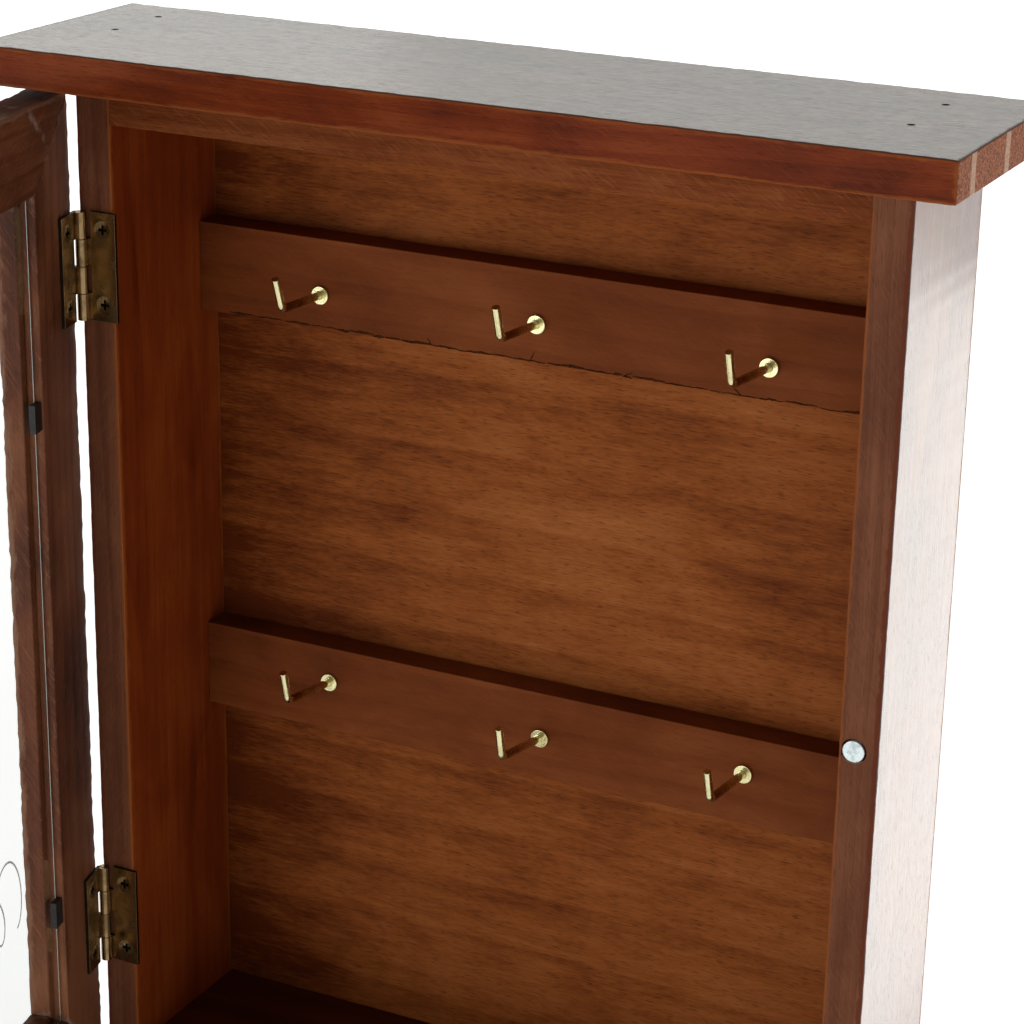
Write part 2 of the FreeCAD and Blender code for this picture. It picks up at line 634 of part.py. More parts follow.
clips = []
clip_spurs = {"hinge_stile": [], "free_stile": []}
for side, inner, direction in (
        ("hinge_stile", "door_edge + frame_width", LEFTWARD),
        ("free_stile", "door_edge + door_width - frame_width", RIGHTWARD)):
    for level, height in (("upper", "upper_clip_height"), ("lower", "lower_clip_height")):
        corner_x = inner if side == "hinge_stile" else f"{inner} - clip_reach"
        middle = f"{DOOR_BOTTOM} + {height}"
        glass_back = f"{DOOR_BACK} - glass_recess"
        tab = box(f"ClipTab_{side}_{level}", ("clip_reach", "clip_thickness", "clip_height"),
                  (corner_x, glass_back, f"{middle} - clip_height / 2"))
        spur = rod(f"ClipSpur_{side}_{level}", "clip_spur_radius", "clip_spur_length",
                   (inner, f"{glass_back} + clip_thickness / 2", middle), direction)
        clips.append(fuse(f"Clip_{side}_{level}", [tab, spur]))
        clip_spurs[side].append(spur)

member_tools = {
    "hinge_stile": door_screw_bodies + clip_spurs["hinge_stile"],
    "free_stile": [knob_stem, strike_spike] + clip_spurs["free_stile"],
}
for member in MEMBERS:
    blank = frame_member(member)
    label = f"door_{member}"
    if member in member_tools:
        keep(cut(f"Door_{member}", blank, member_tools[member]), label, on_door=True)
    else:
        keep(group(f"Door_{member}", [blank]), label, on_door=True)

OPENING_WIDTH = "(door_width - 2 * frame_width - 2 * glass_play)"
OPENING_HEIGHT = "(door_height - 2 * frame_width - 2 * glass_play)"
pane = box("Pane", (OPENING_WIDTH, "glass_thickness", OPENING_HEIGHT),
           ("door_edge + frame_width + glass_play", f"{DOOR_BACK} - {REBATE_DEPTH}",
            f"{DOOR_BOTTOM} + frame_width + glass_play"))
keep(group("GlassPane", [pane]), "glass_pane", on_door=True)
keep(group("GlazingClips", clips), "glazing_clips", on_door=True)
knob_blank = fuse("KnobBlank", [knob_foot, knob_neck, knob_ball])
keep(cut("Knob", knob_blank, [knob_stem]), "door_knob", on_door=True)
keep(group("KnobScrewSet", [knob_screw]), "knob_screw", on_door=True)
keep(fuse("StrikeTack", [strike_disc, strike_spike]), "strike_tack", on_door=True)

doc.recompute()

for thing in doc.Objects:
    if "Invalid" in thing.State or "Error" in thing.State:
        raise SystemExit(f"{thing.Name} failed: {thing.State}")
for piece in PARTS:
    if piece.Shape.isNull() or not piece.Shape.isValid():
        raise SystemExit(f"{piece.Label} has no valid shape")

os.makedirs("parts", exist_ok=True)
for piece in PARTS:
    piece.Shape.exportStep(f"parts/{piece.Label}.step")
    print(f"{piece.Label:32s} solids {len(piece.Shape.Solids)}  volume {piece.Shape.Volume:10.1f}")
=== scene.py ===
"""Key cabinet: stained boards, plywood back, brass hooks and hinges, and a glazed door."""
import json
import math
import random

import bmesh
import bpy
from mathutils import Matrix, Vector, noise


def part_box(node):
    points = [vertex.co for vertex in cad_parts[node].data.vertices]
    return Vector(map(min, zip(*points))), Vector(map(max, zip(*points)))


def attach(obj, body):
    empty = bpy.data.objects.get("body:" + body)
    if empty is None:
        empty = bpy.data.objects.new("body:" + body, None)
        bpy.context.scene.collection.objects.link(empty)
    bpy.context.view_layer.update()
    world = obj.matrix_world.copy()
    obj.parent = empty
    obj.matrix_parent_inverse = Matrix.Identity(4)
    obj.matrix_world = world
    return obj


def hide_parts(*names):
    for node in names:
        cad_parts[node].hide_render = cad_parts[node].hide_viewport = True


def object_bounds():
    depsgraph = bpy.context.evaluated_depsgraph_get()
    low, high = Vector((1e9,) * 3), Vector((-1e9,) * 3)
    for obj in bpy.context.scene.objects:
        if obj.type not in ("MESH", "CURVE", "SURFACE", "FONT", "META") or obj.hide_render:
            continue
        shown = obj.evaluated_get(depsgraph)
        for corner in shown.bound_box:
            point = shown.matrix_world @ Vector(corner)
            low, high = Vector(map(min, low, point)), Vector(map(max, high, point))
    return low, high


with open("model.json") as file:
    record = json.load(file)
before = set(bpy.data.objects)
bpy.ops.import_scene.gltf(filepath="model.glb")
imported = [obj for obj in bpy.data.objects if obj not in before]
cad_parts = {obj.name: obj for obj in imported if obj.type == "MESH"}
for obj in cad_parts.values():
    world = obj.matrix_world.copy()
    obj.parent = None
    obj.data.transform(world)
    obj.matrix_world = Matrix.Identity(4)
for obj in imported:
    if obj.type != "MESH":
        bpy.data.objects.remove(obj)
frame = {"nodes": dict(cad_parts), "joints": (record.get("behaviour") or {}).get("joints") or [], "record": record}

CAD_BOX = [list(corner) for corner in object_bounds()]
MM = 0.001
NODES = frame["nodes"]
BODY_OF = {node: body for body, nodes in frame["record"]["behaviour"]["bodies"].items() for node in nodes}

# --- The door's own frame: its origin is on the hinge axis, X runs along the door, Y through it ------

HINGE = frame["joints"][0]
AXIS = Vector((HINGE["pos_m"][0], HINGE["pos_m"][1], 0))
OPEN_ANGLE = math.radians(HINGE["range_deg"][1])
DOOR_TURN = Matrix.Rotation(-OPEN_ANGLE, 4, "Z")
DOOR_TO_WORLD = Matrix.Translation(AXIS) @ DOOR_TURN
WORLD_TO_DOOR = DOOR_TO_WORLD.inverted()


def local_box(node, to_local):
    """Lowest and highest corner of a CAD node in a turned frame."""
    corners = [to_local @ vertex.co for vertex in NODES[node].data.vertices]
    low = Vector([min(corner[i] for corner in corners) for i in range(3)])
    high = Vector([max(corner[i] for corner in corners) for i in range(3)])
    return low, high


# --- Shader building ------------------------------------------------------------------------------


class Shader:
    """A material's node tree, with one short method for each kind of node used here."""

    def __init__(self, name):
        self.material = bpy.data.materials.new(name)
        self.material.use_nodes = True
        self.nodes = self.material.node_tree.nodes
        self.links = self.material.node_tree.links
        self.nodes.clear()
        self.output = self.nodes.new("ShaderNodeOutputMaterial")

    def feed(self, socket, value):
        if isinstance(value, bpy.types.NodeSocket):
            self.links.new(value, socket)
        elif isinstance(value, tuple) and len(value) == 3 and socket.type == "RGBA":
            socket.default_value = (*value, 1.0)
        else:
            socket.default_value = value

    def attribute(self, name, output="Vector"):
        node = self.nodes.new("ShaderNodeAttribute")
        node.attribute_name = name
        return node.outputs[output]

    def math(self, operation, first, second=0.0, third=0.0, clamp=False):
        node = self.nodes.new("ShaderNodeMath")
        node.operation = operation
        node.use_clamp = clamp
        for socket, value in zip(node.inputs, (first, second, third)):
            self.feed(socket, value)
        return node.outputs[0]

    def vector(self, operation, first, second=(0.0, 0.0, 0.0)):
        node = self.nodes.new("ShaderNodeVectorMath")
        node.operation = operation
        self.feed(node.inputs[0], first)
        self.feed(node.inputs[1], second)
        return node.outputs[0]

    def split(self, vector):
        node = self.nodes.new("ShaderNodeSeparateXYZ")
        self.feed(node.inputs[0], vector)
        return node.outputs

    def join(self, x, y, z):
        node = self.nodes.new("ShaderNodeCombineXYZ")
        for socket, value in zip(node.inputs, (x, y, z)):
            self.feed(socket, value)
        return node.outputs[0]

    def noise(self, vector, stretch=(1.0, 1.0, 1.0), scale=1.0, detail=3.0, rough=0.5, distortion=0.0):
        node = self.nodes.new("ShaderNodeTexNoise")
        self.feed(node.inputs["Vector"], self.vector("MULTIPLY", vector, stretch))
        settings = {"Scale": scale, "Detail": detail, "Roughness": rough, "Distortion": distortion}
        for name, value in settings.items():
            self.feed(node.inputs[name], value)
        return node.outputs["Fac"]

    def centred(self, value):
        """A noise's value moved from around a half to around zero."""
        return self.math("SUBTRACT", value, 0.5)

    def spread(self, value, low, high, start=0.0, end=1.0, smooth=False):
        """Map the range low..high to start..end, clamped."""
        node = self.nodes.new("ShaderNodeMapRange")
        node.interpolation_type = "SMOOTHSTEP" if smooth else "LINEAR"
        for socket, number in zip(node.inputs[:5], (value, low, high, start, end)):
            self.feed(socket, number)
        return node.outputs[0]

    def mix(self, factor, first, second, blend="MIX"):
        node = self.nodes.new("ShaderNodeMix")
        node.data_type = "RGBA"
        node.blend_type = blend
        self.feed(node.inputs[0], factor)
        self.feed(node.inputs[6], first)
        self.feed(node.inputs[7], second)
        return node.outputs[2]

    def bump(self, height, distance, strength=1.0, normal=None):
        node = self.nodes.new("ShaderNodeBump")
        self.feed(node.inputs["Strength"], strength)
        self.feed(node.inputs["Distance"], distance)
        self.feed(node.inputs["Height"], height)
        if normal is not None:
            self.feed(node.inputs["Normal"], normal)
        return node.outputs[0]

    def principled(self, **values):
        node = self.nodes.new("ShaderNodeBsdfPrincipled")
        for name, value in values.items():
            self.feed(node.inputs[name.replace("_", " ")], value)
        self.links.new(node.outputs[0], self.output.inputs[0])
        return node


PITH_DEPTH = 45 * MM
PITH_WANDER = 22 * MM
END_SHADING_LENGTH = 80 * MM
SMEAR_WIDTH = 1.8 * MM
GLUE_COLOUR = (0.30, 0.23, 0.18)


def wood(name, dark, mid, light, rings=0.5, fibres=0.5, pores=0.3, clouds=0.4, gloss=0.0,
         gloss_roughness=0.16, sheen_level=0.1, grain_bump=0.05, ring_pitch=4.5, band=0.0, band_width=1.5,
         band_colour=(0.20, 0.07, 0.02), outer=None, inner=None, scratches=0.0, glue=0.0, coat_bump=0.3,
         short=1.0, painted_end_shading=0.0):
    """Stained wood under lacquer.  The grain runs along X of the board's own coordinates, in metres.

    rings, fibres, pores, clouds, scratches and glue are strengths, and so is the end shading: painted shade at the
    low end of the grain, painted light where it is negative; short makes the fibres shorter.
    band is a worn strip along every long edge; outer and inner are a strip (width, colour) along +Y or -Y alone.
    Widths and pitches are in millimetres."""
    shader = Shader(name)
    grain = shader.attribute("grain")
    half = shader.attribute("half")
    place = shader.vector("ADD", grain, shader.attribute("shift"))

    # Growth rings about a wandering pith below the board
    wander = shader.noise(place, (5.0, 24.0, 24.0), detail=2.0)
    pull = shader.math("MULTIPLY", shader.centred(wander), PITH_WANDER)
    across = shader.math("ADD", shader.split(place)[1], pull)
    depth = shader.math("ADD", shader.split(grain)[2], PITH_DEPTH)
    reach = shader.math("SQRT", shader.math("ADD", shader.math("MULTIPLY", across, across),
                                            shader.math("MULTIPLY", depth, depth)))
    ring = shader.math("FRACT", shader.math("DIVIDE", reach, ring_pitch * MM))
    late = shader.math("MULTIPLY", shader.spread(ring, 0.35, 0.9, smooth=True),
                       shader.spread(ring, 1.0, 0.93, smooth=True))

    # Fibres, streaks, pores and the wood's uneven take-up of its dye
    fibre = shader.noise(place, (70.0 * short, 2600.0, 2600.0), detail=3.0, rough=0.65)
    streak = shader.noise(place, (16.0 * short, 420.0, 420.0), detail=4.0, rough=0.6)
    cloud = shader.noise(place, (26.0, 42.0, 42.0), detail=4.0, rough=0.55, distortion=0.4)
    dash = shader.noise(place, (330.0, 3600.0, 3600.0), detail=1.0)
    pore = shader.math("MULTIPLY", shader.spread(dash, 0.60, 0.72, smooth=True), pores)
    tone = shader.math("MULTIPLY_ADD", shader.centred(streak), 1.2 * fibres, 0.5 + 0.12 * rings)
    tone = shader.math("MULTIPLY_ADD", shader.centred(fibre), 1.2 * fibres, tone)
    tone = shader.math("MULTIPLY_ADD", shader.centred(cloud), 2.2 * clouds, tone)
    tone = shader.math("MULTIPLY_ADD", late, -0.45 * rings, tone)
    if painted_end_shading:
        # Painted shade that darkens the low end of the grain, the left end of a level board; a negative value
        # paints light that brightens it, at the foot of a door stile
        from_left = shader.math("ADD", shader.split(grain)[0], shader.split(half)[0])
        end_shading = shader.spread(from_left, 0.0, END_SHADING_LENGTH, -painted_end_shading, 0.0, smooth=True)
        tone = shader.math("ADD", tone, end_shading)
    colour = shader.mix(shader.spread(tone, 0.0, 0.5), dark, mid)
    colour = shader.mix(shader.spread(tone, 0.5, 1.0), colour, light)
    colour = shader.mix(pore, colour, tuple(0.25 * part for part in dark))

    # Distance to the nearest long edge: the middle one of the three distances to the faces
    gaps = shader.split(shader.vector("SUBTRACT", half, shader.vector("ABSOLUTE", grain)))
    lower = shader.math("MINIMUM", gaps[1], gaps[2])
    upper = shader.math("MAXIMUM", gaps[1], gaps[2])
    edge = shader.math("MAXIMUM", lower, shader.math("MINIMUM", upper, gaps[0]))
    relief = shader.math("MULTIPLY", shader.math("ADD", fibre, streak), 0.6)
    height = shader.math("MULTIPLY_ADD", pore, -0.8, relief)
    coat = gloss
    if scratches:
        # Slanting marks that the saw and the sander left
        along, wide, thick = shader.split(grain)
        slant = shader.math("ADD", shader.math("MULTIPLY", along, 0.62), shader.math("ADD", wide, thick))
        cross = shader.math("SUBTRACT", shader.math("MULTIPLY", along, 0.8), wide)
        scored = shader.noise(shader.join(slant, cross, 0.0), (1700.0, 150.0, 1.0), detail=3.0, rough=0.7)
        height = shader.math("MULTIPLY_ADD", scored, 1.5 * scratches, height)
        marks = shader.math("MULTIPLY", shader.spread(scored, 0.52, 0.72), 0.5 * scratches)
        colour = shader.mix(marks, colour, tuple(1.25 * part + 0.01 for part in light))
    if band:
        rag = shader.noise(place, (160.0, 700.0, 700.0), detail=4.0, rough=0.65)
        torn = shader.math("MULTIPLY_ADD", shader.centred(rag), -2.4 * band_width * MM, edge)
        strip = shader.math("MULTIPLY", shader.spread(torn, band_width * MM, 0.4 * band_width * MM), band)
        colour = shader.mix(strip, colour, band_colour)
        if gloss:
            coat = shader.math("MULTIPLY", shader.math("SUBTRACT", 1.0, strip), gloss)
    for sign, side in ((-1.0, outer), (1.0, inner)):
        if side:
            width, side_colour = side
            rough_line = shader.noise(place, (300.0, 500.0, 500.0), detail=3.0, rough=0.6)
            gap = shader.math("MULTIPLY_ADD", shader.split(grain)[1], sign, shader.split(half)[1])
            gap = shader.math("MULTIPLY_ADD", shader.centred(rough_line), 1.6 * width * MM, gap)
            strip = shader.spread(gap, width * MM, 0.6 * width * MM)
            colour = shader.mix(shader.math("MULTIPLY", strip, 0.85), colour, side_colour)
    if glue:
        # Pale glue smeared along the mitre
        along, wide, thick = shader.split(grain)
        to_end = shader.math("SUBTRACT", shader.split(half)[0], shader.math("ABSOLUTE", along))
        mitre = shader.math("SUBTRACT", to_end, shader.math("ADD", wide, shader.split(half)[1]))
        smear = shader.spread(shader.math("ABSOLUTE", mitre), SMEAR_WIDTH, 0.1 * MM)
        patch = shader.spread(shader.noise(place, (260.0, 260.0, 260.0), detail=4.0, rough=0.75), 0.47, 0.66)
        amount = shader.math("MULTIPLY", shader.math("MULTIPLY", smear, patch), glue)
        colour = shader.mix(amount, colour, GLUE_COLOUR)
    shader.principled(Base_Color=colour, Roughness=shader.spread(fibre, 0.3, 0.7, 0.46, 0.62),
                      Specular_IOR_Level=sheen_level, Normal=shader.bump(height, grain_bump * MM),
                      Coat_Weight=coat, Coat_Roughness=gloss_roughness, Coat_IOR=1.5,
                      Coat_Normal=shader.bump(height, grain_bump * coat_bump * MM))
    return shader.material


STRIPE_PITCH = 21.786 * MM
STRIPE_START = 0.83


def end_grain(name, dark, light, stripe):
    """Sawn end grain: pores between pale fibres, with a few paler stripes across the board's depth."""
    shader = Shader(name)
    grain = shader.attribute("grain")
    place = shader.vector("ADD", grain, shader.attribute("shift"))
    speckle = shader.noise(place, (900.0, 1900.0, 2300.0), detail=3.0, rough=0.75)
    bend = shader.noise(place, (40.0, 40.0, 40.0), detail=2.0)
    bend = shader.math("MULTIPLY", bend, 0.16)
    wave = shader.math("MULTIPLY_ADD", shader.split(grain)[2], 1 / STRIPE_PITCH, bend)
    ring = shader.math("FRACT", shader.math("ADD", wave, STRIPE_START))
    streaks = shader.math("MULTIPLY", shader.spread(ring, 0.85, 0.90, smooth=True),
                          shader.spread(speckle, 0.35, 0.6, 0.45, 0.95))
    colour = shader.mix(shader.spread(speckle, 0.40, 0.60), dark, light)
    colour = shader.mix(streaks, colour, stripe)
    shader.principled(Base_Color=colour, Roughness=0.7, Specular_IOR_Level=0.1,
                      Normal=shader.bump(speckle, 0.12 * MM))
    return shader.material


def metal(name, bright, dull, roughness, tarnish=0.4, spots=0.3, scratch=0.03, scale=1.0, shaded_colour=None):
    """Plated metal with cloudy tarnish, dark spots and fine scratches.

    The last argument is a darker colour for painted shade, taken where the point's stored painted lighting is nil."""
    shader = Shader(name)
    coordinates = shader.nodes.new("ShaderNodeTexCoord").outputs["Object"]
    cloud = shader.noise(coordinates, scale=420.0 * scale, detail=4.0, rough=0.6)
    speck = shader.noise(coordinates, scale=2600.0 * scale, detail=2.0, rough=0.5)
    lines = shader.noise(coordinates, (900.0, 900.0, 6000.0), detail=2.0, rough=0.7)
    dirt = shader.math("MULTIPLY", shader.spread(cloud, 0.40, 0.68, smooth=True), tarnish)
    spotting = shader.math("MULTIPLY", shader.spread(speck, 0.62, 0.72), spots)
    dirt = shader.math("ADD", dirt, spotting, clamp=True)
    colour = shader.mix(dirt, bright, dull)
    # Painted lighting: where the stored value is low the metal takes the darker colour, as painted shade
    if shaded_colour:
        painted_lighting = shader.math("MULTIPLY_ADD", shader.centred(cloud), 0.8, shader.attribute("painted_lighting", "Fac"))
        colour = shader.mix(shader.spread(painted_lighting, 0.25, 0.75), shaded_colour, colour)
    rough = shader.math("ADD", shader.spread(cloud, 0.3, 0.7, roughness * 0.75, roughness * 1.3),
                        shader.math("MULTIPLY", dirt, 0.25))
    normal = shader.bump(shader.math("ADD", lines, shader.math("MULTIPLY", dirt, -0.6)), scratch * MM)
    shader.principled(Base_Color=colour, Metallic=1.0, Roughness=rough, Normal=normal)
    return shader.material


def clear_glass():
    """A thin clear sheet: it lets light straight through and mirrors more at a slant."""
    shader = Shader("float_glass")
    coordinates = shader.nodes.new("ShaderNodeTexCoord").outputs["Object"]
    smudge = shader.noise(coordinates, scale=60.0, detail=4.0, rough=0.6)
    through = shader.nodes.new("ShaderNodeBsdfTransparent")
    through.inputs[0].default_value = (0.985, 0.995, 0.99, 1.0)
    mirror = shader.nodes.new("ShaderNodeBsdfGlossy")
    shader.feed(mirror.inputs["Color"], (1.0, 1.0, 1.0))
    shader.feed(mirror.inputs["Roughness"], shader.spread(smudge, 0.4, 0.8, 0.015, 0.07))
    fresnel = shader.nodes.new("ShaderNodeFresnel")
    fresnel.inputs["IOR"].default_value = 1.5
    inside = shader.nodes.new("ShaderNodeNewGeometry").outputs["Backfacing"]
    blend = shader.nodes.new("ShaderNodeMixShader")
    entering = shader.math("SUBTRACT", 1.0, inside)
    shader.feed(blend.inputs[0], shader.math("MULTIPLY", fresnel.outputs[0], entering))
    shader.links.new(through.outputs[0], blend.inputs[1])
    shader.links.new(mirror.outputs[0], blend.inputs[2])
    shader.links.new(blend.outputs[0], shader.output.inputs[0])
    return shader.material


def plain(name, colour, other, roughness, scale, bump_height, **extra):
    """A non-metal surface with mottled colour, mottled roughness and a fine grain."""
    shader = Shader(name)
    coordinates = shader.nodes.new("ShaderNodeTexCoord").outputs["Object"]
    mottle = shader.noise(coordinates, scale=scale, detail=4.0, rough=0.6)
    fine = shader.noise(coordinates, scale=scale * 12.0, detail=2.0, rough=0.6)
    shader.principled(Base_Color=shader.mix(shader.spread(mottle, 0.35, 0.65), colour, other),
                      Roughness=shader.spread(fine, 0.3, 0.7, roughness * 0.85, roughness * 1.15),
                      Normal=shader.bump(fine, bump_height * MM), **extra)
    return shader.material


RED_DARK = (0.052, 0.0065, 0.0012)
RED_MID = (0.145, 0.0215, 0.0036)
RED_LIGHT = (0.240, 0.050, 0.010)
MATERIALS = {
    "board": wood("stained_board", RED_DARK, RED_MID, RED_LIGHT, rings=0.3, gloss=0.03, gloss_roughness=0.2,
                  clouds=0.80, fibres=0.45, band=0.6, band_width=0.9, band_colour=(0.270, 0.074, 0.016),
                  sheen_level=0.05, scratches=0.34, grain_bump=0.10),
    "board_top": wood("lacquered_top", (0.024, 0.008, 0.0025), (0.080, 0.030, 0.009), (0.160, 0.064, 0.020),
                      rings=0.8, gloss=0.85, gloss_roughness=0.13, sheen_level=0.35, grain_bump=0.035,
                      band=0.9, band_width=0.8, band_colour=(0.085, 0.020, 0.006), coat_bump=2.0),
    "rail": wood("rail_wood", (0.060, 0.012, 0.0025), (0.175, 0.042, 0.0100), (0.290, 0.092, 0.027),
                 rings=0.3, clouds=0.55, scratches=0.75, grain_bump=0.12, sheen_level=0.05),
    "panel_outside": wood("panel_outside", (0.045, 0.011, 0.003), (0.125, 0.036, 0.010),
                          (0.225, 0.084, 0.027), rings=0.5, gloss=0.9, gloss_roughness=0.20, sheen_level=0.4,
                          grain_bump=0.07, band=0.9, band_width=0.6, band_colour=(0.060, 0.016, 0.006),
                          coat_bump=0.9),
    "panel_inside": wood("panel_inside", (0.095, 0.0125, 0.002), (0.195, 0.0310, 0.0044),
                         (0.300, 0.066, 0.010), rings=0.45, clouds=0.50, band=0.55, band_width=1.3,
                         band_colour=(0.33, 0.095, 0.017)),
    "panel_edge": wood("panel_edge", (0.075, 0.021, 0.008), (0.145, 0.046, 0.019), (0.220, 0.084, 0.038),
                       rings=0.35, scratches=0.40, grain_bump=0.08, clouds=0.6,
                       outer=(1.3, (0.115, 0.022, 0.0060)), inner=(0.8, (0.230, 0.064, 0.015))),
    "floor": wood("stained_floor", (0.020, 0.0030, 0.0008), (0.058, 0.0095, 0.0022), (0.110, 0.022, 0.006),
                  sheen_level=0.1),
    # The slat and the plywood are darkened at their left ends with painted shade, beside the left side panel
    "slat": wood("slat_wood", (0.082, 0.016, 0.0030), (0.168, 0.040, 0.0085), (0.260, 0.078, 0.021),
                 rings=0.2, fibres=0.25, clouds=0.55, pores=0.15, ring_pitch=7.0, scratches=0.2, short=2.0,
                 painted_end_shading=0.25, sheen_level=0.06),
    "plywood": wood("plywood_face", (0.095, 0.017, 0.0025), (0.255, 0.068, 0.0130), (0.375, 0.125, 0.032),
                    rings=0.35, fibres=0.62, clouds=0.46, pores=0.5, ring_pitch=16.0, grain_bump=0.07,
                    short=4.0, painted_end_shading=0.45, sheen_level=0.06),
    "door": wood("door_frame_wood", (0.034, 0.0078, 0.0026), (0.108, 0.0300, 0.0105), (0.200, 0.070, 0.028),
                 rings=0.4, clouds=0.7, sheen_level=0.18, grain_bump=0.11, band=0.75, band_width=1.7,
                 band_colour=(0.215, 0.105, 0.060), scratches=0.8, glue=1.0),
    # The stiles are lightened towards their feet with painted light
    "door_stile": wood("door_stile_wood", (0.034, 0.0078, 0.0026), (0.114, 0.032, 0.0112),
                       (0.215, 0.078, 0.032), rings=0.4, clouds=0.8, sheen_level=0.18, grain_bump=0.12,
                       band=0.85, band_width=1.8, band_colour=(0.235, 0.118, 0.068), scratches=0.9,
                       glue=1.0, painted_end_shading=-0.9),
    "door_front": wood("door_front_wood", RED_DARK, RED_MID, RED_LIGHT, rings=0.5, gloss=0.8,
                       sheen_level=0.4),
    "end": end_grain("end_grain", (0.105, 0.024, 0.008), (0.370, 0.132, 0.060), (0.490, 0.320, 0.230)),
    # Torn slat fibres, nearly black: painted shade in the gap where the edge broke out
    "torn_edge_shade": plain("torn_fibres_and_painted_shade", (0.022, 0.0060, 0.0016), (0.070, 0.021, 0.006), 0.9, 1500.0, 0.05,
                   Specular_IOR_Level=0.05),
    "bright_brass": metal("bright_brass", (0.86, 0.78, 0.48), (0.52, 0.42, 0.20), 0.20, tarnish=0.3,
                          spots=0.12),
    "hook_brass": metal("hook_brass", (0.80, 0.74, 0.42), (0.46, 0.38, 0.15), 0.19, tarnish=0.45, spots=0.1,
                        scratch=0.012, shaded_colour=(0.260, 0.150, 0.045)),
    "antique_brass": metal("antique_brass", (0.275, 0.182, 0.088), (0.085, 0.052, 0.021), 0.17, tarnish=0.65,
                           spots=0.10, scale=0.5, scratch=0.02),
    # Nearly black metal for sunk faces: old oxide, and painted shade where parts meet
    "patina_and_shade": metal("dark_patina_and_shade", (0.030, 0.022, 0.012), (0.010, 0.007, 0.004), 0.5),
    "screw_brass": metal("screw_brass", (0.620, 0.500, 0.320), (0.180, 0.120, 0.060), 0.28, tarnish=0.8,
                         spots=0.3, shaded_colour=(0.120, 0.078, 0.032)),
    "dark_steel": metal("dark_steel", (0.10, 0.09, 0.08), (0.03, 0.022, 0.018), 0.5, tarnish=0.6),
    "zinc": metal("zinc_plate", (0.66, 0.65, 0.62), (0.38, 0.37, 0.34), 0.32, tarnish=0.5, scratch=0.05),
    "nickel": metal("nickel_plate", (0.60, 0.68, 0.68), (0.34, 0.39, 0.39), 0.34, tarnish=0.6, spots=0.3),
    "glass": clear_glass(),
    "glass_edge": plain("seamed_glass_edge", (0.62, 0.72, 0.69), (0.46, 0.58, 0.55), 0.35, 900.0, 0.02),
    "etched": plain("etched_line", (0.55, 0.56, 0.56), (0.72, 0.73, 0.72), 0.7, 2500.0, 0.01),
    "black_plastic": plain("black_plastic", (0.007, 0.007, 0.008), (0.018, 0.018, 0.019), 0.38, 700.0, 0.03,
                           Specular_IOR_Level=0.25),
}

# --- Meshes from the CAD shapes ---------------------------------------------------------------------


def clean_copy(node):
    """The CAD node's shape as a new editable mesh with its flat faces whole again."""
    mesh = bmesh.new()
    mesh.from_mesh(NODES[node].data)
    bmesh.ops.remove_doubles(mesh, verts=mesh.verts, dist=2e-6)
    bmesh.ops.dissolve_limit(mesh, angle_limit=math.radians(0.8), verts=mesh.verts, edges=mesh.edges)
    mesh.normal_update()
    return mesh


def ease(mesh, width, angle=25.0, shortest=0.0, segments=2):
    """Round over the sharp edges."""
    edges = [edge for edge in mesh.edges
             if len(edge.link_faces) == 2 and edge.calc_face_angle(0.0) > math.radians(angle)
             and edge.calc_length() > shortest]
    bmesh.ops.bevel(mesh, geom=edges, offset=width, segments=segments, profile=0.6, affect="EDGES",
                    clamp_overlap=True, offset_type="OFFSET")
    mesh.normal_update()


def new_piece(mesh, name, materials, body):
    """Turn a mesh into an object that rides on a body."""
    data = bpy.data.meshes.new(name)
    mesh.to_mesh(data)
    mesh.free()
    for material in materials:
        data.materials.append(MATERIALS[material])
    piece = bpy.data.objects.new(name, data)
    bpy.context.scene.collection.objects.link(piece)
    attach(piece, body)
    return piece


def stand_in(mesh, node, materials, smooth_angle=38.0):
    """Turn a mesh into the smooth-shaded piece that stands for a CAD node."""
    piece = new_piece(mesh, f"{node}_finish", materials, BODY_OF[node])
    piece.data.shade_smooth()
    piece.data.set_sharp_from_angle(angle=math.radians(smooth_angle))
    weighted = piece.modifiers.new("weighted_normals", "WEIGHTED_NORMAL")
    weighted.keep_sharp = True
    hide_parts(node)
    return piece


def stamp(piece, to_board, half, seed):
    """Store each point's place in the board's own coordinates, which the wood shader reads."""
    grain, sizes, shift = (piece.data.attributes.new(name, "FLOAT_VECTOR", "POINT")
                           for name in ("grain", "half", "shift"))
    offset = Vector((seed * 0.371, seed * 0.1137, seed * 0.0731))
    for index, vertex in enumerate(piece.data.vertices):
        grain.data[index].vector = to_board @ vertex.co
        sizes.data[index].vector = half
        shift.data[index].vector = offset


def board_frame(node, grain_axis, to_local, flip):
    """The transform into a board's own coordinates, with the grain along X, and its half sizes.

    A flip of -1 mirrors its Y, so that +Y is the outer side on the left as on the right."""
    low, high = local_box(node, to_local)
    middle, half = (low + high) / 2, (high - low) / 2
    order = {"X": (0, 2, 1), "Y": (0, 1, 2), "Z": (2, 0, 1)}[grain_axis]
    turn = Matrix([[float(column == axis) for column in range(3)] for axis in order]).to_4x4()
    turn = Matrix.Diagonal((1.0, flip, 1.0, 1.0)) @ turn
    return turn @ Matrix.Translation(-middle) @ to_local, Vector([half[axis] for axis in order])


def slice_along(mesh, to_board, half, pitch):
    """Cut a board across its grain at even steps, so that its edges can waver."""
    to_world = to_board.inverted()
    direction = (to_world.to_3x3() @ Vector((1, 0, 0))).normalized()
    count = int(2 * half.x / pitch)
    for step in range(1, count):
        point = to_world @ Vector((-half.x + 2 * half.x * step / count, 0, 0))
        bmesh.ops.bisect_plane(mesh, geom=mesh.verts[:] + mesh.edges[:] + mesh.faces[:], plane_co=point,
                               plane_no=direction, dist=1e-7)


EDGE_ZONE = 0.7 * MM
COARSE_WEAR, FINE_WEAR = 90, 800
SLICE_PITCH = 1.6 * MM
SHORTEST_ARRIS = 3.0 * MM


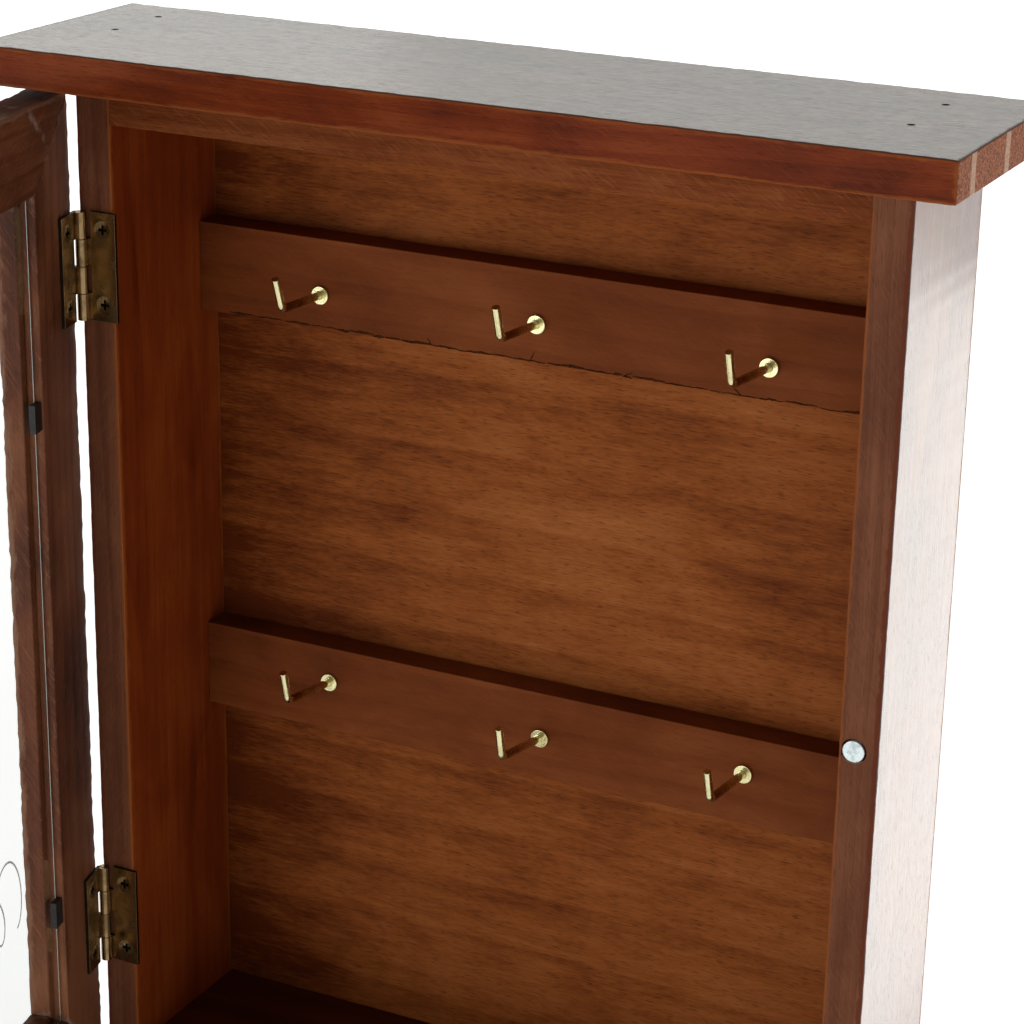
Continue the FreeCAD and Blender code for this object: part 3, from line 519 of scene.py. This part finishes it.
def waver(mesh, to_board, half, depth, seed):
    """Wear the long edges unevenly, as sanding by hand leaves them."""
    to_world = to_board.inverted()
    for vertex in mesh.verts:
        own = to_board @ vertex.co
        gaps = (half.y - abs(own.y), half.z - abs(own.z))
        if max(gaps) > EDGE_ZONE:
            continue
        corner = 3.0 * math.copysign(1, own.y) + 7.0 * math.copysign(1, own.z) + seed
        coarse = noise.noise(Vector((own.x * COARSE_WEAR, corner, 0.0)))
        fine = noise.noise(Vector((own.x * FINE_WEAR, corner, 5.0)))
        amount = depth * max(0.0, 0.3 + 0.6 * coarse + 0.9 * fine)
        own.y -= math.copysign(amount, own.y)
        own.z -= math.copysign(amount, own.z)
        vertex.co = to_world @ own


def board(node, materials, choose, grain_axis="X", to_local=Matrix.Identity(4), round_over=0.5, depth=0.1,
          seed=1.0, flip=1.0):
    """A wooden board: eased, slightly ragged edges, its own stretch of grain, and a finish for each side.

    choose takes a face's direction in the local frame and gives the index of its material."""
    to_board, half = board_frame(node, grain_axis, to_local, flip)
    mesh = clean_copy(node)
    ease(mesh, round_over * MM, shortest=SHORTEST_ARRIS, segments=3)
    slice_along(mesh, to_board, half, SLICE_PITCH)
    waver(mesh, to_board, half, depth * MM, seed)
    mesh.normal_update()
    turn = to_local.to_3x3()
    for face in mesh.faces:
        face.material_index = choose(turn @ face.normal)
    piece = stand_in(mesh, node, materials, smooth_angle=50.0)
    stamp(piece, to_board, half, seed)
    return piece


def fitting(node, material, round_over=0.1, segments=2, smooth_angle=40.0):
    """A metal or plastic piece with its edges broken."""
    mesh = clean_copy(node)
    ease(mesh, round_over * MM, segments=segments)
    return stand_in(mesh, node, [material], smooth_angle)


def store_painted_lighting(piece, painted_lighting_at):
    """Store each point's painted lighting, from 0 (painted shade) to 1 (full colour), for the metal shader."""
    painted_lighting = piece.data.attributes.new("painted_lighting", "FLOAT", "POINT")
    for index, vertex in enumerate(piece.data.vertices):
        painted_lighting.data[index].value = min(1.0, max(0.0, painted_lighting_at(vertex.co)))


def key_hook(node):
    """A hook with a polished upright, bend and collar, and an arm darkened with painted shade, for the dark
    surroundings that it mirrors.
    """
    piece = fitting(node, "hook_brass", round_over=0.18, segments=3)
    arm_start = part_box(node)[0].y + 4.6 * MM
    arm_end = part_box("upper_hook_slat")[0].y - 1.1 * MM

    def painted_lighting_at(point):
        return max((arm_start - point.y) / (2.2 * MM), (point.y - arm_end) / (0.1 * MM))
    store_painted_lighting(piece, painted_lighting_at)


def hinge_part(node, material, facing, round_over, bare_depth=0.09):
    """A hinge leaf or its screws: what lies below the face that shows is dark, partly old oxide in the screw holes
    and recesses, partly painted shade on the leaf's sides and in the gaps round the screw heads.
    """
    mesh = clean_copy(node)
    flats = [face for face in mesh.faces if face.normal.dot(facing) > 0.99]
    level = max(flats, key=lambda face: face.calc_area()).calc_center_median().dot(facing)
    ease(mesh, round_over * MM, segments=2)
    for face in mesh.faces:
        sunk = level - face.calc_center_median().dot(facing)
        face.material_index = 1 if sunk > bare_depth * MM else 0
    return stand_in(mesh, node, [material, "patina_and_shade"])


def hinge_screws(node, facing):
    """Screw heads with a painted highlight on the upper outer side of each rim; the rest keeps the darker colour
    of painted shade.
    """
    piece = hinge_part(node, "screw_brass", facing, 0.28, bare_depth=0.05)
    across = facing.cross(Vector((0, 0, 1))).normalized()
    low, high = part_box(node)
    radius = 1.9 * MM
    heads = (low.z + radius, high.z - radius)
    middle = sum(vertex.co.dot(across) for vertex in piece.data.vertices) / len(piece.data.vertices)

    def painted_lighting_at(point):
        head = min(heads, key=lambda height: abs(point.z - height))
        sideways, upward = (point.dot(across) - middle) / radius, (point.z - head) / radius
        return 0.5 + 1.6 * (0.75 * upward + 0.65 * sideways - 0.35)
    store_painted_lighting(piece, painted_lighting_at)


# --- Wooden pieces ------------------------------------------------------------------------------------

END_LIMIT = 0.8


def top_faces(normal):
    if abs(normal.x) > END_LIMIT:
        return 2
    return 1 if normal.z > 0.6 else 0


def side_faces(outward):
    """Outside, inside, front edge and ends of a side panel that faces outward along X."""
    def choose(normal):
        if abs(normal.z) > END_LIMIT:
            return 3
        if normal.x * outward > 0.6:
            return 0
        return 2 if normal.y < -0.8 else 1
    return choose


def plain_faces(normal):
    return 1 if abs(normal.x) > END_LIMIT else 0


def door_faces(normal):
    return 1 if normal.y < -0.7 else 0


SIDE = ["panel_outside", "panel_inside", "panel_edge", "end"]
board("top_board", ["board", "board_top", "end"], top_faces, round_over=0.5, depth=0.12, seed=1.7)
board("base_board", ["board", "board_top", "end"], top_faces, round_over=0.5, depth=0.12, seed=3.4)
board("left_side_panel", SIDE, side_faces(-1), "Z", round_over=0.4, seed=5.1, flip=-1.0)
board("right_side_panel", SIDE, side_faces(1), "Z", round_over=0.4, seed=6.8)
board("inner_top_board", ["rail", "end"], plain_faces, round_over=0.25, seed=8.5)
board("inner_bottom_board", ["floor", "end"], plain_faces, round_over=0.25, seed=10.2)
board("back_panel", ["plywood", "end"], plain_faces, round_over=0.2, depth=0.14, seed=11.9)
board("upper_hook_slat", ["slat", "end"], plain_faces, round_over=0.25, depth=0.08, seed=13.6)
board("lower_hook_slat", ["slat", "end"], plain_faces, round_over=0.25, depth=0.08, seed=15.3)
DOOR_BOARDS = (("door_hinge_stile", "Z", "door_stile"), ("door_free_stile", "Z", "door_stile"),
               ("door_top_rail", "X", "door"), ("door_bottom_rail", "X", "door"))
for seed, (node, axis, back) in enumerate(DOOR_BOARDS, start=11):
    board(node, [back, "door_front"], door_faces, axis, WORLD_TO_DOOR, round_over=0.45, depth=0.26,
          seed=1.7 * seed)


def torn_edge():
    """Torn fibres along the lower edge of the upper slat, where the saw broke out, coloured almost black as
    painted shade in the broken-out gap.
    """
    low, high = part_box("upper_hook_slat")
    front = low.y - 0.03 * MM
    draw = random.Random(5)
    mesh = bmesh.new()

    def sliver(x, z, length, thickness, slope):
        steps = 6
        rows = []
        for step in range(steps + 1):
            part = step / steps
            swell = thickness * math.sin(math.pi * (0.12 + 0.76 * part)) * draw.uniform(0.7, 1.3) / 2
            middle_x = x + length * part * math.cos(slope)
            middle_z = z + length * part * math.sin(slope) + draw.uniform(-0.14, 0.14) * MM
            side_x, side_z = -math.sin(slope) * swell, math.cos(slope) * swell
            rows.append([mesh.verts.new((middle_x + sign * side_x, front, middle_z + sign * side_z))
                         for sign in (-1, 1)])
        for one, two in zip(rows, rows[1:]):
            mesh.faces.new((one[0], two[0], two[1], one[1]))

    x = low.x + 8 * MM
    while x < high.x - 3 * MM:
        length = draw.uniform(2.0, 9.0) * MM
        sliver(x, low.z + draw.uniform(0.05, 0.55) * MM, length, draw.uniform(0.25, 0.68) * MM,
               draw.uniform(-0.03, 0.03))
        x += length + draw.uniform(-0.9, 0.7) * MM
    for share, slope in ((0.35, 2.2), (0.49, 1.1), (0.62, 0.5), (0.78, 2.6)):
        x = low.x + share * (high.x - low.x)
        sliver(x, low.z + 0.1 * MM, draw.uniform(1.6, 2.8) * MM, 0.32 * MM, slope)
    piece = new_piece(mesh, "upper_slat_torn_edge_and_shade", ["torn_edge_shade"], "cabinet")
    thickness = piece.modifiers.new("thickness", "SOLIDIFY")
    thickness.thickness = 0.03 * MM


torn_edge()

# --- Metal, glass and plastic pieces --------------------------------------------------------------------

FRONT_WARD = Vector((0, -1, 0))
DOOR_BACK_WARD = DOOR_TURN.to_3x3() @ Vector((0, 1, 0))
for node in NODES:
    if node.startswith("key_hook"):
        key_hook(node)
    elif node.endswith("hinge_pin"):
        fitting(node, "antique_brass", round_over=0.1)
    elif "_hinge_" in node and node.startswith(("upper", "lower")):
        facing = DOOR_BACK_WARD if "hinge_door" in node else FRONT_WARD
        if node.endswith("screws"):
            hinge_screws(node, facing)
        else:
            hinge_part(node, "antique_brass", facing, 0.12)
    elif node.endswith("nails") or node == "slat_pins":
        fitting(node, "dark_steel", round_over=0.08)
    elif node.startswith("wall_hanger") or node == "strike_tack":
        fitting(node, "zinc", round_over=0.12)
fitting("catch_magnet", "nickel", round_over=0.2, segments=3)
fitting("knob_screw", "bright_brass", round_over=0.3, segments=3)
fitting("glazing_clips", "black_plastic", round_over=0.25, segments=3)
fitting("door_knob", "bright_brass", round_over=0.4, segments=3, smooth_angle=50.0)


def glass_pane():
    """The pane, with seamed edges that catch the light."""
    mesh = clean_copy("glass_pane")
    ease(mesh, 0.3 * MM, segments=1)
    for face in mesh.faces:
        face.material_index = 1 if 0.3 < face.normal.dot(DOOR_BACK_WARD) < 0.98 else 0
    stand_in(mesh, "glass_pane", ["glass", "glass_edge"], smooth_angle=20.0)


def flourish():
    """A looped ornamental line etched low on the glass, with the outline of a key over it."""
    low, high = local_box("glass_pane", WORLD_TO_DOOR)
    middle = (low.x + high.x) / 2
    surface = high.y + 0.01 * MM
    base = low.z + 36 * MM
    line_width = 0.26 * MM
    mesh = bmesh.new()

    def ribbon(points, closed=False):
        count = len(points)
        rows = []
        for index, (x, z) in enumerate(points):
            before = points[(index - 1) % count if closed else max(index - 1, 0)]
            after = points[(index + 1) % count if closed else min(index + 1, count - 1)]
            side = Vector((before[1] - after[1], after[0] - before[0])).normalized() * line_width
            corners = [Vector((x + sign * side.x, surface, z + sign * side.y)) for sign in (1, -1)]
            rows.append([mesh.verts.new(DOOR_TO_WORLD @ corner) for corner in corners])
        for index in range(count if closed else count - 1):
            one, two = rows[index], rows[(index + 1) % count]
            mesh.faces.new((one[0], one[1], two[1], two[0]))

    loops = 12
    steps = 60
    half_length = 53 * MM
    scroll = []
    for index in range(loops * steps + 1):
        turn = 2 * math.pi * index / steps
        part = index / (loops * steps)
        swell = 0.45 + 0.55 * abs(2 * part - 1)
        x = middle - half_length + 2 * half_length * part - 5.0 * MM * swell * math.sin(turn)
        z = base + 8.5 * MM * swell * (1 - math.cos(turn)) + 2.0 * MM * math.sin(0.5 * turn)
        scroll.append((x, z))
    ribbon(scroll)
    bow_x, bow_z = middle - 16 * MM, base + 34 * MM
    for radius in (7.0 * MM, 4.2 * MM):
        ribbon([(bow_x + radius * math.cos(0.05 * math.pi * k), bow_z + radius * math.sin(0.05 * math.pi * k))
                for k in range(40)], closed=True)
    shaft, tip, half_bar = bow_x + 7.0 * MM, bow_x + 36.0 * MM, 1.2 * MM
    tooth_width, long_tooth, short_tooth, gap = 3.0 * MM, 6.0 * MM, 5.0 * MM, 3.0 * MM
    bit = ((0, half_bar), (1, half_bar), (1, long_tooth), (2, long_tooth), (2, gap), (3, gap),
           (3, short_tooth), (4, short_tooth), (4, half_bar))
    outline = [(shaft, bow_z + half_bar), (tip, bow_z + half_bar)]
    outline += [(tip - widths * tooth_width, bow_z - drop) for widths, drop in bit]
    outline.append((shaft, bow_z - half_bar))
    for start, end in zip(outline, outline[1:]):
        ribbon([start, end])
    piece = new_piece(mesh, "glass_ornament", ["etched"], "door")
    thickness = piece.modifiers.new("thickness", "SOLIDIFY")
    thickness.thickness = 0.02 * MM


glass_pane()
flourish()

# --- Studio -----------------------------------------------------------------------------------------

FLOOR_REACH = 30.0


def studio_floor():
    """A pale light table: it glows a little, as the white ground under the real one does."""
    shader = Shader("studio_floor")
    coordinates = shader.nodes.new("ShaderNodeTexCoord").outputs["Object"]
    mottle = shader.noise(coordinates, scale=8.0, detail=4.0)
    shader.principled(Base_Color=shader.mix(mottle, (0.86, 0.86, 0.86), (0.90, 0.90, 0.90)), Roughness=0.6,
                      Specular_IOR_Level=0.2, Emission_Color=(1.0, 1.0, 1.0), Emission_Strength=0.75)
    mesh = bmesh.new()
    bmesh.ops.create_grid(mesh, x_segments=8, y_segments=8, size=FLOOR_REACH)
    data = bpy.data.meshes.new("studio_floor")
    mesh.to_mesh(data)
    mesh.free()
    data.materials.append(shader.material)
    floor = bpy.data.objects.new("studio_floor", data)
    floor.location.z = CAD_BOX[0][2] - 0.2 * MM
    bpy.context.scene.collection.objects.link(floor)


def softbox(name, place, target, size, radiance, colour=(1.0, 1.0, 1.0)):
    """An even rectangle of light that the camera doesn't see."""
    light = bpy.data.lights.new(name, "AREA")
    light.shape = "RECTANGLE"
    light.size, light.size_y = size
    light.energy = radiance * math.pi * size[0] * size[1]
    light.color = colour
    lamp = bpy.data.objects.new(name, light)
    lamp.location = place
    lamp.rotation_euler = (Vector(target) - Vector(place)).to_track_quat("-Z", "Y").to_euler()
    lamp.visible_camera = False
    bpy.context.scene.collection.objects.link(lamp)


def world_light(strength):
    world = bpy.data.worlds.new("studio")
    world.use_nodes = True
    background = world.node_tree.nodes["Background"]
    background.inputs["Color"].default_value = (1.0, 1.0, 1.0, 1.0)
    background.inputs["Strength"].default_value = strength
    bpy.context.scene.world = world


def camera(place, yaw, pitch, roll, lens):
    """A camera turned left by yaw, tipped down by pitch and rolled clockwise, all in degrees."""
    yaw, pitch, roll = (math.radians(angle) for angle in (yaw, pitch, roll))
    forward = Vector((-math.sin(yaw) * math.cos(pitch), math.cos(yaw) * math.cos(pitch), -math.sin(pitch)))
    right = forward.cross(Vector((0, 0, 1))).normalized()
    up = right.cross(forward)
    tilted_right = math.cos(roll) * right + math.sin(roll) * up
    tilted_up = -math.sin(roll) * right + math.cos(roll) * up
    data = bpy.data.cameras.new("camera")
    data.lens = lens
    data.sensor_width = 36.0
    data.clip_start = 0.01
    eye = bpy.data.objects.new("camera", data)
    turn = Matrix((tilted_right, tilted_up, -forward)).transposed()
    eye.matrix_world = Matrix.Translation(place) @ turn.to_4x4()
    bpy.context.scene.collection.objects.link(eye)
    bpy.context.scene.camera = eye


studio_floor()
world_light(0.30)
softbox("front_box", (-0.40, -1.10, 0.08), (0.0, 0.0, 0.14), (0.8, 0.34), 4.9)
softbox("back_box", (-0.62, 1.35, 0.95), (0.0, 0.0, 0.26), (2.2, 1.1), 0.84, (1.0, 0.985, 0.925))
softbox("back_left_box", (-1.20, 1.20, 0.85), (0.0, 0.0, 0.26), (1.0, 1.0), 0.30, (1.0, 0.985, 0.94))
softbox("table_glow", (0.42, 0.42, 0.002), (0.42, 0.42, 1.0), (0.6, 0.86), 1.92, (1.0, 0.988, 0.948))
camera(Vector((0.26027, -0.51579, 0.37795)), 26.26, 19.84, 1.02, 98.80)
bpy.context.scene.view_settings.view_transform = "Standard"
